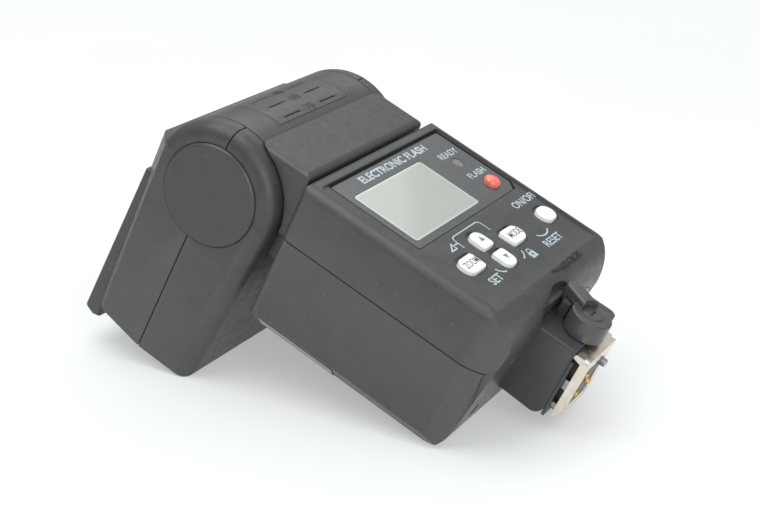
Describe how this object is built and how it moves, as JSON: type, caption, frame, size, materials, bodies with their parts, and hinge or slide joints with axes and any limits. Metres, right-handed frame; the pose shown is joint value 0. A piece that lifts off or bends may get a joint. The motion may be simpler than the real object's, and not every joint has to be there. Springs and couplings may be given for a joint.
{
  "type": "speedlight flash",
  "caption": "Shoe-mount camera flash: battery body with a rear display and keys, swivel neck and a lamp head that tilts up.",
  "frame": {"origin": "centre of the shoe foot's underside", "axes": "+Z from the foot to the head, +Y to the control face, +X to the side with the plain hinge cap"},
  "size_m": [0.0694, 0.0745, 0.1229],
  "materials": {
    "shell": "fine-grained moulded ABS, satin",
    "trim": "smooth moulded ABS",
    "cover_gloss": "semi-gloss printed cover",
    "lcd": "grey-green display glass",
    "key": "pearly translucent keys",
    "red_key": "glossy red",
    "lamp": "dull lamp lens",
    "red_window": "dark red filter",
    "lens": "clear ribbed lens",
    "panel": "frosted diffuser",
    "reflector": "bright-rolled",
    "steel": "turned",
    "nickel": "nickel plate",
    "gold": "gold-plated contacts",
    "board": "circuit board",
    "can": "sleeved capacitor",
    "cell": "plain sleeve",
    "inner": "unfinished"
  },
  "bodies": {
    "head": {"head_upper_shell": "shell", "head_lower_shell": "shell", "head_top_housing": "shell", "lens_bezel": "trim", "flash_lens": "lens", "hinge_cap": "shell", "release_ring": "shell", "tilt_pivots": "steel", "zoom_rails": "steel", "zoom_motor": "steel", "trigger_coil": "inner"},
    "wide_panel": {"wide_panel": "panel"},
    "zoom": {"zoom_carriage": "inner", "flash_reflector": "reflector", "flash_tube": "lens", "lead_screw": "steel"},
    "release": {"release_button": "shell"},
    "neck": {"neck_housing": "shell", "angle_scale": "shell", "swivel_tube": "steel", "swivel_retainer": "steel"},
    "body": {"rear_shell": "shell", "front_shell": "shell", "bottom_cover": "shell", "cover_screws": "steel", "af_window": "red_window", "display_cover": "cover_gloss", "display_module": "lcd", "ready_lamp": "lamp", "switch_board": "board", "dome_switches": "steel", "main_capacitor": "can", "battery_holder": "inner", "battery_cells": "cell", "battery_contacts": "nickel", "door_pin": "steel", "swivel_bush": "inner", "foot_block": "shell", "foot_insulator": "trim", "foot_plate": "nickel", "foot_spring": "nickel", "foot_screws": "steel"},
    "door": {"battery_door": "shell", "door_contacts": "nickel"},
    "latch": {"door_latch": "trim"},
    "lever": {"lock_lever": "trim", "lever_cap": "trim"},
    "lock_pin": {"lock_pin": "nickel"},
    "test_body": {"test_button": "red_key"},
    "power_body": {"power_button": "key"},
    "mode_body": {"mode_button": "key"},
    "zoom_key_body": {"zoom_button": "key"},
    "up_body": {"up_button": "key"},
    "down_body": {"down_button": "key"},
    "contact_1": {"contact_pin_1": "gold"},
    "contact_2": {"contact_pin_2": "gold"},
    "contact_3": {"contact_pin_3": "gold"},
    "contact_4": {"contact_pin_4": "gold"}
  },
  "joints": [
    {"name": "head_swivel", "type": "hinge", "parent": "body", "child": "neck", "pos_m": [0, 0.0017, 0.0765], "axis": [0, 0, 1], "range_deg": [-90, 180]},
    {"name": "head_tilt", "type": "hinge", "parent": "neck", "child": "head", "pos_m": [0, 0.0017, 0.098], "axis": [-1, 0, 0], "range_deg": [0, 90]},
    {"name": "wide_panel_slide", "type": "slide", "parent": "head", "child": "wide_panel", "axis": [0, -1, 0], "range_m": [0, 0.034]},
    {"name": "zoom_slide", "type": "slide", "parent": "head", "child": "zoom", "axis": [0, -1, 0], "range_m": [0, 0.009]},
    {"name": "release_press", "type": "slide", "parent": "head", "child": "release", "axis": [1, 0, 0], "range_m": [0, 0.0015], "stiffness_N_per_m": 300},
    {"name": "door_swing", "type": "hinge", "parent": "body", "child": "door", "pos_m": [-0.0324, 0.0123, 0.037], "axis": [0, 0, -1], "range_deg": [0, 100]},
    {"name": "latch_slide", "type": "slide", "parent": "door", "child": "latch", "axis": [0, 0, -1], "range_m": [0, 0.002]},
    {"name": "lever_swing", "type": "hinge", "parent": "body", "child": "lever", "pos_m": [0, 0.013, 0.0069], "axis": [0, 1, 0], "range_deg": [0, 60]},
    {"name": "lock_pin_slide", "type": "slide", "parent": "body", "child": "lock_pin", "axis": [0, 0, 1], "range_m": [0, 0.0017]},
    {"name": "test_press", "type": "slide", "parent": "body", "child": "test_body", "axis": [0, -1, 0], "range_m": [0, 0.0006], "stiffness_N_per_m": 400},
    {"name": "power_press", "type": "slide", "parent": "body", "child": "power_body", "axis": [0, -1, 0], "range_m": [0, 0.0006], "stiffness_N_per_m": 400},
    {"name": "mode_press", "type": "slide", "parent": "body", "child": "mode_body", "axis": [0, -1, 0], "range_m": [0, 0.0006], "stiffness_N_per_m": 400},
    {"name": "zoom_press", "type": "slide", "parent": "body", "child": "zoom_key_body", "axis": [0, -1, 0], "range_m": [0, 0.0006], "stiffness_N_per_m": 400},
    {"name": "up_press", "type": "slide", "parent": "body", "child": "up_body", "axis": [0, -1, 0], "range_m": [0, 0.0006], "stiffness_N_per_m": 400},
    {"name": "down_press", "type": "slide", "parent": "body", "child": "down_body", "axis": [0, -1, 0], "range_m": [0, 0.0006], "stiffness_N_per_m": 400},
    {"name": "contact_1_press", "type": "slide", "parent": "body", "child": "contact_1", "axis": [0, 0, 1], "range_m": [0, 0.0007], "stiffness_N_per_m": 300},
    {"name": "contact_2_press", "type": "slide", "parent": "body", "child": "contact_2", "axis": [0, 0, 1], "range_m": [0, 0.0007], "stiffness_N_per_m": 300},
    {"name": "contact_3_press", "type": "slide", "parent": "body", "child": "contact_3", "axis": [0, 0, 1], "range_m": [0, 0.0007], "stiffness_N_per_m": 300},
    {"name": "contact_4_press", "type": "slide", "parent": "body", "child": "contact_4", "axis": [0, 0, 1], "range_m": [0, 0.0007], "stiffness_N_per_m": 300}
  ],
  "couplings": [
    {"joint": "lever_swing", "follows": "lock_pin_slide", "rad_per_m": 615.99}
  ]
}
